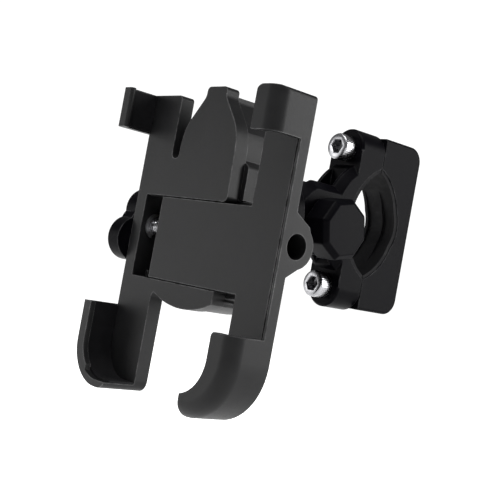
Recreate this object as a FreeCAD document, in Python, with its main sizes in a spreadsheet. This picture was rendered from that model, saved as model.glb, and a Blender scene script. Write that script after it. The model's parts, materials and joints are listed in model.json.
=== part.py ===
import FreeCAD, Part
import Sketcher
import os

# Phone handlebar mount, in millimetres.  The origin is the centre of the
# handlebar bore: +X runs along the handlebar, -Y points at the rider and
# +Z runs up along the long side of the phone.

V = FreeCAD.Vector
doc = FreeCAD.newDocument("phone_handlebar_mount")
sheet = doc.addObject("Spreadsheet::Sheet", "Sizes")

SIZES = [
    # where the holder stands, seen from the handlebar
    ("reach", 78.3, "bar centre to the front face of the jaws"),
    ("jaw_left", -36.0, "left edge of the left jaw plate"),
    ("jaw_top", 30.5, "top edge of the jaw plates"),
    ("swivel_drop", 5.5, "bar centre down to the swivel axis"),
    # jaw plates
    ("jaw_height", 105.5, "top edge to underside of the lower claws"),
    ("jaw_width", 80.0, "left edge to right outer face, as stored"),
    ("plate_left", 5.5, "thickness of the left plate"),
    ("plate_right", 4.0, "thickness of the right plate"),
    ("leg_width", 18.7, "width of the left leg"),
    ("rail_width", 5.4, "left rail beside the window"),
    ("right_rail", 17.0, "width of the right rail and leg"),
    ("window_top", 36.0, "top edge down to the window"),
    ("window_height", 29.4, "height of the window"),
    ("window_gap", 9.9, "open part of the window, left of the slide tongue"),
    ("bar_height", 4.0, "cross bar below the window, at its ends"),
    ("bar_end", 52.0, "left edge to the end of the cross bar"),
    ("bulge_radius", 37.5, "round lower edge of the cross bar"),
    ("tongue_centre", 34.8, "left edge to the middle of the upper tongue"),
    ("tongue_half", 14.8, "half width of the upper tongue"),
    ("neck_half", 5.3, "half width of the tongue's neck"),
    ("neck_rise", 2.9, "neck above the top edge"),
    ("shoulder_top", 0.6, "top edge down to the start of the shoulder"),
    ("shoulder_low", 10.8, "top edge down to the end of the shoulder"),
    ("slit_width", 4.0, "slit between claw arm and tongue"),
    ("slit_depth", 22.5, "depth of the slit"),
    # claws
    ("claw_depth", 12.5, "front of the plates to front of the claws"),
    ("claw_wall", 2.5, "wall of the claws"),
    ("claw_tall", 14.2, "height of the upper claws"),
    ("claw_low", 77.0, "top edge down to the lower claws"),
    ("left_lip", 2.5, "upper left lip, inwards of the wall"),
    ("left_lip_low", 1.6, "lower left lip, inwards of the wall"),
    ("lip_step", 5.5, "left edge to the step where the low lip ends"),
    ("right_lip", 10.6, "right lips, from the outer face"),
    ("right_lip_low", 7.0, "lip along the lower right claw's floor"),
    ("tip_reach", 22.0, "lower right claw's tip, from the outer face"),
    ("corner_left", 15.0, "outer corner of the lower left claw"),
    ("corner_right", 21.0, "outer corner of the lower right claw"),
    ("claw_round", 5.2, "rounding of the right claws' front edge"),
    ("liner_thick", 0.8, "rubber lining inside the claws"),
    # clamping screw and slide
    ("screw_level", 47.0, "top edge down to the clamping screw"),
    ("screw_depth", 6.3, "plate front to the clamping screw's axis"),
    ("screw_radius", 2.5, "M5 clamping screw"),
    ("screw_fit", 0.05, "radial running clearance"),
    ("screw_free", 0.4, "radial clearance of the screw's tunnel"),
    ("ear_radius", 7.2, "ears round the screw"),
    ("ear_hole", 4.1, "radius of the open hole in the right ear"),
    ("ear_wall", 3.5, "thickness of the right ear"),
    ("ear_boss", 12.0, "length of the boss behind the right ear"),
    ("insert_radius", 3.6, "threaded bushing, outside"),
    ("insert_length", 12.0, "threaded bushing"),
    ("slide_gap", 0.4, "clearance of the slide, above and below"),
    ("wing_top", 1.6, "slide wings beyond the tongue, above and below"),
    ("slide_play", 0.3, "left plate's back to the wings"),
    ("wing_thick", 2.4, "thickness of the wings"),
    ("nut_block", 11.4, "plate front to the back of the nut block"),
    ("nut_block_half", 5.8, "half height of the nut block"),
    ("opens", 20.0, "the right jaw moves out by this much"),
    ("closes", 7.0, "the right jaw moves in by this much"),
    # wing knob
    ("knob_lobe", 8.1, "radius of the wing knob's two lobes"),
    ("knob_ring", 6.2, "screw axis to the middle of a lobe"),
    ("knob_waist", 6.6, "radius of the knob's waist"),
    ("knob_thick", 7.0, "thickness of the knob"),
    ("knob_gap", 1.0, "thrust washer between knob and wall"),
    # housing behind the plates
    ("house_back", 18.0, "plate front to the back of the housing"),
    ("floor_gap", 1.0, "nut block to the floor of the channel"),
    ("house_inset", 1.3, "housing inside the plate's outline"),
    ("seat_radius", 16.0, "swivel disc"),
    ("hub_radius", 12.5, "hub behind the housing"),
    ("seat_front", 24.0, "plate front to the fixed disc"),
    ("seat_back", 29.4, "plate front to the back of the fixed disc"),
    ("disc_gap", 0.7, "friction washer between the discs"),
    ("disc_back", 35.2, "plate front to the back of the turning disc"),
    ("pivot", 53.7, "plate front to the tilt axis"),
    ("bolt_radius", 3.0, "M6 bolts"),
    ("lug_half", 2.8, "half width of the tilt lug"),
    ("lug_radius", 9.0, "round end of the tilt lug"),
    ("washer_thick", 0.8, "tilt washers"),
    ("side_gap", 0.05, "side clearance of the tilt washers"),
    # handlebar clamp
    ("clamp_width", 16.0, "clamp along the handlebar"),
    ("bar_radius", 12.75, "bore for a 25.4 mm bar, radius"),
    ("bore_apex", 12.0, "half depth of the bore's flanks"),
    ("bore_cusp", 20.0, "half height of the bore at the split"),
    ("bore_liner", 1.6, "rubber liner in the bore"),
    ("groove_depth", 1.0, "grip grooves in the liner"),
    ("groove_tip", 18.6, "half height of the grip grooves at their tips"),
    ("rib_half", 1.5, "half width of the rib between the grooves"),
    ("recess_cusp", 21.3, "half height of the recess for the liner"),
    ("split_half", 0.15, "half of the gap between the clamp halves"),
    ("bolt_level", 26.2, "clamp screws above and below the bar"),
    ("boss_radius", 8.0, "round ends of the front half"),
    ("boss_face", 12.6, "split to the screw head seats"),
    ("rear_depth", 21.5, "split to the back face"),
    ("rear_half", 33.2, "half height of the rear half"),
    ("rear_round", 6.0, "rear corners"),
    ("arch_radius", 23.6, "outside of the front half round the bar"),
    ("fork_round", 18.0, "round front end of the fork"),
    ("fork_up", 16.0, "fork above the tilt axis"),
    ("fork_down", 10.5, "fork below the tilt axis"),
    ("edge_bevel", 2.9, "bevel on the fork and arch"),
    ("nut_flats", 21.5, "octagonal lock nut across flats"),
    ("nut_thick", 10.5, "octagonal lock nut"),
    ("head_radius", 5.0, "M6 socket head"),
    ("head_height", 6.0, "M6 socket head"),
    ("clamp_opens", 6.0, "the rear half backs off by this much"),
]


class Size:
    """A length that knows its number and its spreadsheet formula."""

    def __init__(self, value, text):
        self.value = value
        self.text = text

    def _join(self, other, sign, swap=False):
        other = as_size(other)
        left, right = (other, self) if swap else (self, other)
        value = {"+": lambda a, b: a + b, "-": lambda a, b: a - b,
                 "*": lambda a, b: a * b, "/": lambda a, b: a / b}[sign](left.value, right.value)
        return Size(value, "(%s %s %s)" % (left.text, sign, right.text))

    def __add__(self, other):
        return self._join(other, "+")

    def __radd__(self, other):
        return self._join(other, "+", True)

    def __sub__(self, other):
        return self._join(other, "-")

    def __rsub__(self, other):
        return self._join(other, "-", True)

    def __mul__(self, other):
        return self._join(other, "*")

    def __rmul__(self, other):
        return self._join(other, "*", True)

    def __truediv__(self, other):
        return self._join(other, "/")

    def __neg__(self):
        return 0 - self


def as_size(value):
    if isinstance(value, Size):
        return value
    return Size(float(value), "(%.6f)" % value)


class Sheet:
    """Every named size of the spreadsheet, as a Size."""


D = Sheet()
for row, (alias, number, note) in enumerate(SIZES, start=1):
    sheet.set("A%d" % row, alias)
    sheet.set("B%d" % row, str(number))
    sheet.set("C%d" % row, note)
    sheet.setAlias("B%d" % row, alias)
    setattr(D, alias, Size(float(number), "Sizes." + alias))
doc.recompute()


# ---------------------------------------------------------------- helpers

def bind(obj, prop, size):
    obj.setExpression(prop, as_size(size).text)


def place(obj, x, y, z):
    for axis, size in zip("xyz", (x, y, z)):
        bind(obj, "Placement.Base." + axis, size)


def box(name, low, high):
    """A box between two corners."""
    obj = doc.addObject("Part::Box", name)
    for prop, a, b in zip(("Length", "Width", "Height"), low, high):
        bind(obj, prop, as_size(b) - a)
    place(obj, *low)
    return obj


TURNS = {
    "X": FreeCAD.Rotation(V(0, 1, 0), 90),
    "Y": FreeCAD.Rotation(V(1, 0, 0), -90),
    "Z": FreeCAD.Rotation(),
}


def rod(name, axis, centre, radius, start, end):
    """A cylinder along an axis; centre holds its other two coordinates."""
    obj = doc.addObject("Part::Cylinder", name)
    obj.Placement = FreeCAD.Placement(V(), TURNS[axis])
    bind(obj, "Radius", radius)
    bind(obj, "Height", as_size(end) - start)
    spot = list(centre)
    spot.insert("XYZ".index(axis), start)
    place(obj, *spot)
    return obj


def regular(name, axis, centre, sides, across, start, end, turn=0.0):
    """A regular prism along an axis, by its size across flats."""
    obj = doc.addObject("Part::Prism", name)
    spin = FreeCAD.Rotation(V(0, 0, 1), 180.0 / sides + turn)
    obj.Placement = FreeCAD.Placement(V(), TURNS[axis].multiply(spin))
    obj.Polygon = sides
    bind(obj, "Circumradius", Size(as_size(across).value, "%s / 2 / cos(%f deg)"
                                   % (as_size(across).text, 180.0 / sides)))
    bind(obj, "Height", as_size(end) - start)
    spot = list(centre)
    spot.insert("XYZ".index(axis), start)
    place(obj, *spot)
    return obj


PLANES = {
    "XZ": (FreeCAD.Rotation(V(1, 0, 0), 90), V(0, 1, 0), "y"),
    "YZ": (FreeCAD.Rotation(V(1, 1, 1), 120), V(1, 0, 0), "x"),
}


def prism(name, plane, points, start, end):
    """A straight-sided outline in a plane, drawn as a sketch and extruded."""
    turn, way, axis = PLANES[plane]
    sketch = doc.addObject("Sketcher::SketchObject", name + "_outline")
    sketch.Placement = FreeCAD.Placement(V(), turn)
    bind(sketch, "Placement.Base." + axis, start)
    points = [(as_size(a), as_size(b)) for a, b in points]
    count = len(points)
    spots = [V(a.value, b.value, 0) for a, b in points]
    for i in range(count):
        sketch.addGeometry(Part.LineSegment(spots[i], spots[(i + 1) % count]), False)
    for i in range(count):
        sketch.addConstraint(Sketcher.Constraint("Coincident", i, 2, (i + 1) % count, 1))
    for i, (a, b) in enumerate(points):
        for kind, size in (("DistanceX", a), ("DistanceY", b)):
            at = sketch.addConstraint(Sketcher.Constraint(kind, -1, 1, i, 1, size.value))
            sketch.setExpression("Constraints[%d]" % at, size.text)
    obj = doc.addObject("Part::Extrusion", name)
    obj.Base = sketch
    obj.DirMode = "Custom"
    obj.Dir = way
    obj.Solid = True
    bind(obj, "LengthFwd", as_size(end) - start)
    return obj


def fuse(name, parts):
    obj = doc.addObject("Part::MultiFuse", name)
    obj.Shapes = parts
    obj.Refine = True
    return obj


def cut(name, base, tools):
    tool = tools[0] if len(tools) == 1 else fuse(name + "_tools", tools)
    obj = doc.addObject("Part::Cut", name)
    obj.Base = base
    obj.Tool = tool
    obj.Refine = True
    return obj


def common(name, a, b):
    obj = doc.addObject("Part::MultiCommon", name)
    obj.Shapes = [a, b]
    return obj


def edges_at(obj, spots, reach=0.02):
    """Numbers of the edges that pass through the given points."""
    doc.recompute()
    found = []
    for spot in spots:
        point = Part.Vertex(V(*[as_size(c).value for c in spot]))
        near = [i for i, e in enumerate(obj.Shape.Edges, start=1)
                if e.distToShape(point)[0] < reach and i not in found]
        if not near:
            raise RuntimeError("no edge of %s at %s" % (obj.Label, point.Point))
        found.extend(near)
    return found


def soften(kind, name, base, rounds):
    """Fillet or chamfer edges: rounds is a list of (points, size)."""
    obj = doc.addObject("Part::" + kind, name)
    obj.Base = base
    edges = []
    for spots, size in rounds:
        for i in edges_at(base, spots):
            if i not in [e[0] for e in edges]:
                edges.append((i, as_size(size).value, as_size(size).value))
    obj.Edges = edges
    doc.recompute()
    if "Invalid" in obj.State:
        raise RuntimeError("%s could not be rounded" % name)
    return obj


def fillet(name, base, rounds):
    return soften("Fillet", name, base, rounds)


def chamfer(name, base, rounds):
    return soften("Chamfer", name, base, rounds)


def corner_tool(name, x, z, way_x, way_z, radius, start, end):
    """What a rounded corner leaves of a square one, along Y; the ways point inwards."""
    mid_x, mid_z = x + way_x * radius, z + way_z * radius
    over_x, over_z = x - way_x * 1.0, z - way_z * 1.0
    low_x, high_x = (over_x, mid_x) if way_x > 0 else (mid_x, over_x)
    low_z, high_z = (over_z, mid_z) if way_z > 0 else (mid_z, over_z)
    return cut(name, box(name + "_block", (low_x, start, low_z), (high_x, end, high_z)),
               [rod(name + "_disc", "Y", (mid_x, mid_z), radius, start - 1, end + 1)])


def behind_front(name, obj):
    """What of an object lies behind the plates' front face."""
    room = box(name + "_room", (x0 - 20, y0, z_screw - 30), (x_right + 20, y0 + 60, z_screw + 30))
    return common(name, obj, room)


NODES = []


def node(obj, name):
    """Keep an object as a finished piece under its own name."""
    obj.Label = name
    NODES.append(obj)
    return obj


# ------------------------------------------------- places used throughout

x0 = D.jaw_left
z0 = D.jaw_top
y0 = -D.reach
x_right = x0 + D.jaw_width
z_window = z0 - D.window_top
z_bar = z_window - D.window_height
z_floor = z0 - D.jaw_height + D.claw_wall
z_under = z0 - D.jaw_height
z_screw = z0 - D.screw_level
y_screw = y0 + D.screw_depth
z_axis = -D.swivel_drop
y_pivot = y0 + D.pivot
y_lip = y0 - D.claw_depth
x_leg = x0 + D.leg_width
x_rail = x_right - D.right_rail
x_tongue = x0 + D.rail_width + D.window_gap
x_mid = x0 + D.tongue_centre
x_tip = x_right - D.tip_reach
wing_front = D.plate_left + D.slide_play
house_floor = D.nut_block + D.floor_gap
BEAD = 0.9


# --------------------------------------------------------------- left jaw

def left_jaw():
    y1 = y0 + D.plate_left
    slit_left = x_mid - D.tongue_half - D.slit_width
    slit_low = z0 - D.slit_depth
    sh_a = z0 - D.shoulder_top
    sh_b = z0 - D.shoulder_low
    sh_c = sh_b - 6.2
    neck_l, neck_r = x_mid - D.neck_half, x_mid + D.neck_half
    side_l, side_r = x_mid - D.tongue_half, x_mid + D.tongue_half
    knee = 1.4
    neck_top = z0 + D.neck_rise
    plate = prism("left_plate", "XZ", [
        (x0, z0), (slit_left, z0), (slit_left, slit_low), (side_l, slit_low),
        (side_l, sh_c), (side_l + knee, sh_b), (neck_l, sh_a), (neck_l, neck_top),
        (neck_r, neck_top), (neck_r, sh_a), (side_r - knee, sh_b), (side_r, sh_c),
        (side_r + 0.6, z_window), (x0 + D.rail_width, z_window), (x0 + D.rail_width, z_bar),
        (x0 + D.bar_end, z_bar), (x0 + D.bar_end, z_bar - D.bar_height),
        (x_leg, z_bar - D.bar_height), (x_leg, z_under), (x0, z_under)], y0, y1)
    ym = y0 + D.plate_left / 2
    plate = fillet("left_plate_round", plate, [
        ([(slit_left, ym, slit_low), (side_l, ym, slit_low)], D.slit_width * 0.47),
        ([(neck_l, ym, sh_a), (neck_r, ym, sh_a)], 4.0),
        ([(side_l + knee, ym, sh_b), (side_r - knee, ym, sh_b)], 14.0),
        ([(side_l, ym, sh_c), (side_r, ym, sh_c)], 20.0),
        ([(slit_left, ym, z0)], 1.5),
        ([(neck_l, ym, neck_top), (neck_r, ym, neck_top)], 1.6),
        ([(side_r + 0.6, ym, z_window)], 2.0),
        ([(x_leg, ym, z_bar - D.bar_height)], 2.6)])
    bulge = common("bulge",
                   rod("bulge_disc", "Y", (0, z_axis), D.bulge_radius, y0, y1),
                   box("bulge_box", (x_leg - 1, y0, z_bar - 12), (x0 + D.bar_end, y1, z_bar)))
    wall = box("bearing_wall", (x0, y0, z_bar - 1.5), (x0 + D.rail_width, y_screw + 4.9, z_window + 1.5))
    wall = fillet("bearing_wall_round", wall, [
        ([(x0 + 1, y_screw + 4.9, z_bar - 1.5), (x0 + 1, y_screw + 4.9, z_window + 1.5)], 4.5)])
    ear = behind_front("left_ear", rod("left_ear_rod", "X", (y_screw, z_screw), D.ear_radius,
                                       x0, x0 + D.rail_width))
    arm = box("arm", (x0 - D.claw_wall, y_lip, z0 - D.claw_tall), (x0, y1, z0))
    arm_lip = box("arm_lip", (x0 - D.claw_wall, y_lip, z0 - D.claw_tall),
                  (x0 + D.left_lip, y_lip + 2.2, z0))
    root = box("arm_root", (x0 - D.claw_wall, y0 + 0.5, z0 - D.claw_tall), (x0 + 1, y1, z0))
    upper = fuse("upper_left_claw", [arm, arm_lip, root])
    upper = fillet("upper_left_claw_round", upper, [
        ([(x0 - D.claw_wall, y_lip, z0 - 5), (x0 + D.left_lip, y_lip, z0 - 5),
          (x0 + D.left_lip, y_lip + 2.2, z0 - 5)], 1.0),
        ([(x0 - D.claw_wall, y1, z0 - 5)], 2.4)])
    shell = box("low_left_block", (x0 - D.claw_wall, y_lip, z_under), (x_leg, y1, z0 - D.claw_low))
    shell = fillet("low_left_corner", shell, [
        ([(x0 - D.claw_wall, y0, z_under)], D.corner_left)])
    inner = D.corner_left - D.claw_wall
    room = box("low_left_room", (x0, y_lip + 2.2, z_floor), (x_leg + 1, y0, z0 - D.claw_low + 1))
    room = fillet("low_left_room_corner", room, [([(x0, y0 - 2, z_floor)], inner)])
    mouth = box("low_left_mouth", (x0 + D.left_lip_low, y_lip - 1, z_floor + D.left_lip_low),
                (x_leg + 1, y0, z0 - D.claw_low + 1))
    mouth = fillet("low_left_mouth_corner", mouth, [
        ([(x0 + D.left_lip_low, y0 - 2, z_floor + D.left_lip_low)], inner - D.left_lip_low)])
    full = box("low_left_full", (x0, y_lip - 1, z_floor), (x_leg + 1, y0, z0 - D.claw_low + 1))
    full = fillet("low_left_full_corner", full, [([(x0, y0 - 2, z_floor)], inner)])
    step = common("low_left_step", full,
                  box("low_left_step_box", (x0 + D.lip_step, y_lip - 2, z_floor - 1),
                      (x_leg + 2, y0, z0 - D.claw_low + 2)))
    lower = cut("lower_left_claw", shell, [room, mouth, step])
    corner = corner_tool("plate_corner", x0 - D.claw_wall, z_under, 1, 1, D.corner_left, y0 - 1, y1 + 1)
    foot = corner_tool("left_foot", x_leg, z_under, -1, 1, as_size(4.2), y_lip - 1, y1 + 1)
    plate = cut("left_plate_cornered", plate, [corner])
    bore = rod("left_bore", "X", (y_screw, z_screw), D.screw_radius + D.screw_fit,
               x0 - 1, x0 + D.rail_width + 1)
    jaw = fuse("left_jaw_body", [plate, bulge, wall, ear, upper, lower])
    holes = [rod("plate_hole_%d" % i, "Y", spot, 1.3, y0 + 1.6, y1 + 1)
             for i, spot in enumerate(joining_screws())]
    return node(cut("left_jaw", jaw, [bore, foot] + holes), "left_jaw")


def joining_screws():
    """Places of the screws that hold the housing to the left plate."""
    return [(x_mid - 9.5, z0 - 26.5), (x_mid + 9.5, z0 - 26.5), (x_mid, z0 - 11), (x_mid, z_bar - 3.9)]


# -------------------------------------------------------------- right jaw

def right_claw(name, z_low, z_high):
    """Upper right claw: an outer wall with a rounded front lip."""
    y1 = y0 + D.plate_right
    block = box(name + "_block", (x_right - D.right_lip, y_lip, z_low), (x_right, y1, z_high))
    block = fillet(name + "_round", block, [([(x_right, y_lip, z_low + 3)], D.claw_round)])
    inner = box(name + "_room", (x_right - D.right_lip - 1, y_lip + D.claw_wall, z_low - 1),
                (x_right - D.claw_wall, y0, z_high + 1))
    inner = fillet(name + "_room_round", inner, [
        ([(x_right - D.claw_wall, y_lip + D.claw_wall, z_low + 3)], D.claw_round - D.claw_wall)])
    claw = cut(name + "_cut", block, [inner])
    return fillet(name + "_edges", claw, [
        ([(x_right - D.right_lip, y_lip, z_low + 3),
          (x_right - D.right_lip, y_lip + D.claw_wall, z_low + 3)], BEAD)])


def corner_shell(name, inset, y_from, y_to, left, top):
    """The lower right claw's outline, drawn in by an inset."""
    low = (left, y_from, z_under + inset)
    block = box(name + "_block", low, (x_right - inset, y_to, top))
    return fillet(name, block, [
        ([(x_right - inset, (y_from + y_to) / 2, z_under + inset)], D.corner_right - inset)])


def lower_right_claw():
    y1 = y0 + D.plate_right
    top = z0 - D.claw_low
    shell = corner_shell("low_right_shell", as_size(0), y_lip, y1, x_tip, top)
    doc.recompute()
    shell = fillet("low_right_front", shell, [
        ([(x_right, y_lip, top - 3)], D.claw_round),
        ([(x_tip, y_lip, z_under + 1), (x_tip, y0, z_under)], 2.0)])
    room = corner_shell("low_right_room", D.claw_wall, y_lip + D.claw_wall, y0, x_tip - 9, top + 1)
    room = fillet("low_right_room_front", room, [
        ([(x_right - D.claw_wall, y_lip + D.claw_wall, top - 3)], D.claw_round - D.claw_wall)])
    mouth_x = x_right - D.right_lip
    mouth_z = z_under + D.right_lip_low
    mouth = box("low_right_mouth_box", (x_tip - 9, y_lip - 1, mouth_z), (mouth_x, y0, top + 1))
    mouth = fillet("low_right_mouth", mouth, [([(mouth_x, y0 - 2, mouth_z)], D.corner_right * 0.62)])
    side = box("low_right_side", (x_tip - 9, y0 - 1, z_floor), (x_rail, y1 + 1, top + 1))
    return cut("low_right_cut", shell, [room, mouth, side])


def right_jaw():
    y1 = y0 + D.plate_right
    wing_z = D.slide_gap
    z_a = z_window - D.slide_gap
    z_b = z_bar + D.slide_gap
    leg = box("right_rail", (x_rail, y0, z_under + 4), (x_right, y1, z0))
    tongue = box("slide_tongue", (x_tongue, y0, z_b), (x_rail + 1, y0 + wing_front, z_a))
    wing = box("slide_wings", (x_tongue, y0 + wing_front, z_b - D.wing_top),
               (x_rail - 3, y0 + wing_front + D.wing_thick, z_a + D.wing_top))
    block = box("nut_block", (x_tongue, y0 + wing_front, z_screw - D.nut_block_half),
                (x_rail - 3, y0 + D.nut_block, z_screw + D.nut_block_half))
    ear = behind_front("right_ear", rod("right_ear_rod", "X", (y_screw, z_screw), D.ear_radius,
                                        x_right - D.ear_boss, x_right))
    web = prism("ear_web", "YZ", [
        (y0 + 1, z_screw + 10.6), (y1, z_screw + 10.6), (y_screw + 4.2, z_screw + 6.8),
        (y_screw + 6.4, z_screw + 2), (y_screw + 6.4, z_screw - 2), (y_screw + 2.6, z_screw - 6.6),
        (y1, z_screw - 10), (y0 + 1, z_screw - 10)],
        x_right - D.ear_wall, x_right)
    upper = right_claw("upper_right_claw", z0 - D.claw_tall, z0)
    lower = lower_right_claw()
    clip = corner_shell("rail_corner", as_size(0), y0 - 30, y0 + 30, x0 - 10, z0 + 40)
    body = fuse("right_jaw_body", [leg, tongue, wing, block, ear, web, upper, lower])
    body = common("right_jaw_cornered", body, clip)
    tunnel = rod("screw_tunnel", "X", (y_screw, z_screw), D.screw_radius + D.screw_free,
                 x_tongue - 1, x_right - 8)
    socket = rod("insert_socket", "X", (y_screw, z_screw), D.insert_radius,
                 x_tongue - 1, x_tongue + D.insert_length)
    hole = rod("ear_opening", "X", (y_screw, z_screw), D.ear_hole, x_right - 9, x_right + 1)
    x_lip = x_right - D.right_lip
    corners = [
        corner_tool("claw_top", x_lip, z0, 1, -1, as_size(3.2), y_lip - 1, y0 - 3),
        corner_tool("claw_low", x_lip, z0 - D.claw_tall, 1, 1, as_size(1.6), y_lip - 1, y0 - 3),
        corner_tool("rail_top", x_right, z0, -1, -1, as_size(1.5), y_lip - 1, y1 + 1),
        corner_tool("hook_top", x_lip, z0 - D.claw_low, 1, -1, as_size(1.6), y_lip - 1, y0 - 3)]
    body = cut("right_jaw_cut", body, [tunnel, socket, hole] + corners)
    groove_x = x_right - 1.5
    groove = box("edge_groove", (groove_x, y0 - 1, z0 - D.claw_low),
                 (groove_x + 0.5, y0 + 0.5, z0 - D.claw_tall))
    body = cut("right_jaw_grooved", body, [groove])
    return node(body, "right_jaw")


# -------------------------------------------------------------- claw pads

def claw_pads():
    t = D.liner_thick
    y_a, y_b = y_lip + 2.4, y0 - 0.1
    node(box("upper_left_pad", (x0, y_a, z0 - D.claw_tall + 0.6), (x0 + t, y_b, z0 - 0.6)),
         "upper_left_pad")
    inner = D.corner_left - D.claw_wall
    skin = box("ll_pad_out", (x0, y_a, z_floor), (x_leg - 0.4, y_b, z0 - D.claw_low - 0.5))
    skin = fillet("ll_pad_out_round", skin, [([(x0, y_a + 1, z_floor)], inner)])
    hollow = box("ll_pad_in", (x0 + t, y_a - 1, z_floor + t), (x_leg + 1, y_b + 1, z0))
    hollow = fillet("ll_pad_in_round", hollow, [([(x0 + t, y_a + 1, z_floor + t)], inner - t)])
    node(cut("lower_left_pad", skin, [hollow]), "lower_left_pad")
    w = D.claw_wall
    y_a = y_lip + w + 2.9
    node(box("upper_right_pad", (x_right - w - t, y_a, z0 - D.claw_tall + 0.6),
             (x_right - w, y_b, z0 - 0.6)), "upper_right_pad")
    skin = corner_shell("lr_pad_out", w, y_a, y_b, x_tip + 0.4, z0 - D.claw_low - 0.5)
    hollow = corner_shell("lr_pad_in", w + t, y_a - 1, y_b + 1, x_tip - 5, z0)
    node(cut("lower_right_pad", skin, [hollow]), "lower_right_pad")


# ---------------------------------------------------- clamping screw, knob

def clamping_screw():
    axis = (y_screw, z_screw)
    x_wall = x0 + D.rail_width
    x_knob = x0 - D.knob_gap
    rod_main = rod("screw_rod", "X", axis, D.screw_radius, x_knob - D.knob_thick + 2, x_rail - 5)
    collar = rod("screw_collar", "X", axis, 3.6, x_wall + 1.2, x_wall + 1.9)
    groove = cut("clip_groove_ring", rod("groove_out", "X", axis, 4.0, x_wall + 0.15, x_wall + 1.05),
                 [rod("groove_in", "X", axis, 2.05, x_wall, x_wall + 2)])
    body = cut("lead_screw_cut", fuse("lead_screw_body", [rod_main, collar]), [groove])
    node(chamfer("lead_screw", body, [([(x_rail - 5, y_screw + D.screw_radius, z_screw)], 0.6)]),
         "lead_screw")
    clip = cut("clip_disc", rod("clip_out", "X", axis, 4.6, x_wall + 0.2, x_wall + 1.0),
               [rod("clip_in", "X", axis, 2.05, x_wall, x_wall + 2),
                box("clip_mouth", (x_wall, y_screw - 1.5, z_screw - 6),
                    (x_wall + 2, y_screw + 1.5, z_screw))])
    node(clip, "retaining_clip")
    washer = cut("washer_disc", rod("washer_out", "X", axis, 5.5, x_knob + 0.1, x0 - 0.1),
                 [rod("washer_in", "X", axis, D.screw_radius + 0.1, x_knob - 1, x0 + 1)])
    node(washer, "thrust_washer")
    bushing = cut("bushing",
                  rod("bushing_out", "X", axis, D.insert_radius, x_tongue, x_tongue + D.insert_length),
                  [rod("bushing_in", "X", axis, D.screw_radius + D.screw_fit, x_tongue - 1,
                       x_tongue + D.insert_length + 1)])
    node(bushing, "thread_insert")


def wing_knob():
    axis = (y_screw, z_screw)
    x_b = x0 - D.knob_gap
    x_a = x_b - D.knob_thick
    turn = FreeCAD.Rotation(V(1, 0, 0), 63.0).multVec(V(0, 1, 0))
    lobes = [rod("lobe_%s" % name, "X",
                 (y_screw + side * turn.y * D.knob_ring, z_screw + side * turn.z * D.knob_ring),
                 D.knob_lobe, x_a, x_b)
             for name, side in (("upper", 1.0), ("lower", -1.0))]
    core = rod("knob_core", "X", axis, D.knob_waist, x_a, x_b)
    body = fuse("knob_body", [core] + lobes)
    doc.recompute()
    rim = [i for i, e in enumerate(body.Shape.Edges, start=1)
           if abs(e.BoundBox.XMax - e.BoundBox.XMin) < 0.001 and e.BoundBox.XMax < x_a.value + 0.01]
    round_rim = doc.addObject("Part::Fillet", "knob_round")
    round_rim.Base = body
    round_rim.Edges = [(i, 1.0, 1.0) for i in rim]
    bore = rod("knob_bore", "X", axis, D.screw_radius, x_a + 2, x_b + 1)
    dish = rod("knob_dish", "X", axis, D.knob_waist * 0.6, x_a - 1, x_a + 1.2)
    pin_x = x_a + D.knob_thick / 2
    pin_room = rod("pin_hole", "Y", (pin_x, z_screw), 1.0, y_screw, y_screw + 16)
    node(cut("wing_knob", round_rim, [bore, dish, pin_room]), "wing_knob")
    node(rod("knob_pin", "Y", (pin_x, z_screw), 1.0, y_screw + D.screw_radius,
             y_screw + D.knob_waist + 0.4), "knob_pin")


# ------------------------------------------------------ housing and swivel

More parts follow.
